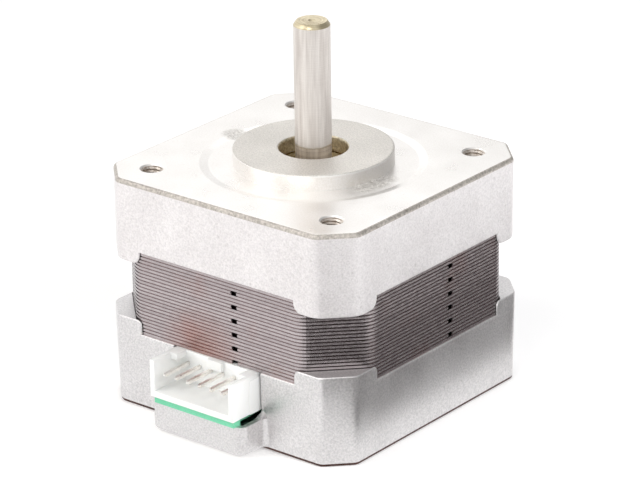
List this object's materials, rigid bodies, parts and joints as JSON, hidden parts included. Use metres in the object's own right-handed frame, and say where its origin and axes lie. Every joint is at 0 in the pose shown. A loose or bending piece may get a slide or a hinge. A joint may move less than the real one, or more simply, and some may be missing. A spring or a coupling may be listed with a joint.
{
  "type": "stepper motor",
  "caption": "Square hybrid stepper motor with a laminated stator between two cast end caps, a raised pilot, a plain round shaft and a plug header on one side.",
  "frame": {"origin": "where the shaft's axis meets the front mounting face", "axes": "+Z out along the shaft; the plug header looks along -Y; +X completes the right-handed frame"},
  "size_m": [0.0424, 0.0477, 0.053],
  "materials": {
    "cast_aluminium": "fine blasted casting, machined on the mounting face",
    "stator_steel": "bare punched laminations",
    "rotor_steel": "ground",
    "insulator_nylon": "moulded",
    "copper_wire": "enamelled",
    "tinned_brass": "bright",
    "board_laminate": "satin",
    "header_nylon": "moulded",
    "screw_steel": "plated",
    "spring_steel": "rolled",
    "bearing_steel": "ground",
    "ball_steel": "polished",
    "cage_brass": "turned",
    "sleeve_brass": "turned",
    "magnet": "ground",
    "shaft_steel": "ground"
  },
  "bodies": {
    "housing": {"front_end_cap": "cast_aluminium", "rear_end_cap": "cast_aluminium", "stator_core": "stator_steel", "front_insulator": "insulator_nylon", "rear_insulator": "insulator_nylon", "coil_1": "copper_wire", "coil_2": "copper_wire", "coil_3": "copper_wire", "coil_4": "copper_wire", "coil_5": "copper_wire", "coil_6": "copper_wire", "coil_7": "copper_wire", "coil_8": "copper_wire", "winding_terminals": "tinned_brass", "circuit_board": "board_laminate", "header_housing": "header_nylon", "header_pins": "tinned_brass", "assembly_screws": "screw_steel", "wave_washer": "spring_steel", "front_bearing_outer_ring": "bearing_steel", "front_bearing_shields": "spring_steel", "rear_bearing_outer_ring": "bearing_steel", "rear_bearing_shields": "spring_steel"},
    "rotor": {"shaft": "shaft_steel", "front_rotor_cup": "rotor_steel", "rear_rotor_cup": "rotor_steel", "rotor_magnet": "magnet", "front_sleeve": "sleeve_brass", "rear_sleeve": "sleeve_brass", "front_bearing_inner_ring": "bearing_steel", "rear_bearing_inner_ring": "bearing_steel"},
    "front_ball_set": {"front_bearing_balls": "ball_steel", "front_bearing_cage": "cage_brass"},
    "rear_ball_set": {"rear_bearing_balls": "ball_steel", "rear_bearing_cage": "cage_brass"}
  },
  "joints": [
    {"name": "rotor_spin", "type": "hinge", "parent": "housing", "child": "rotor", "pos_m": [0, 0, 0], "axis": [0, 0, 1], "continuous": true},
    {"name": "front_cage_spin", "type": "hinge", "parent": "housing", "child": "front_ball_set", "pos_m": [0, 0, -0.0027], "axis": [0, 0, 1], "continuous": true},
    {"name": "rear_cage_spin", "type": "hinge", "parent": "housing", "child": "rear_ball_set", "pos_m": [0, 0, -0.0289], "axis": [0, 0, 1], "continuous": true}
  ],
  "couplings": [
    {"joint": "front_cage_spin", "follows": "rotor_spin", "ratio": 0.3673},
    {"joint": "rear_cage_spin", "follows": "rotor_spin", "ratio": 0.3673}
  ]
}
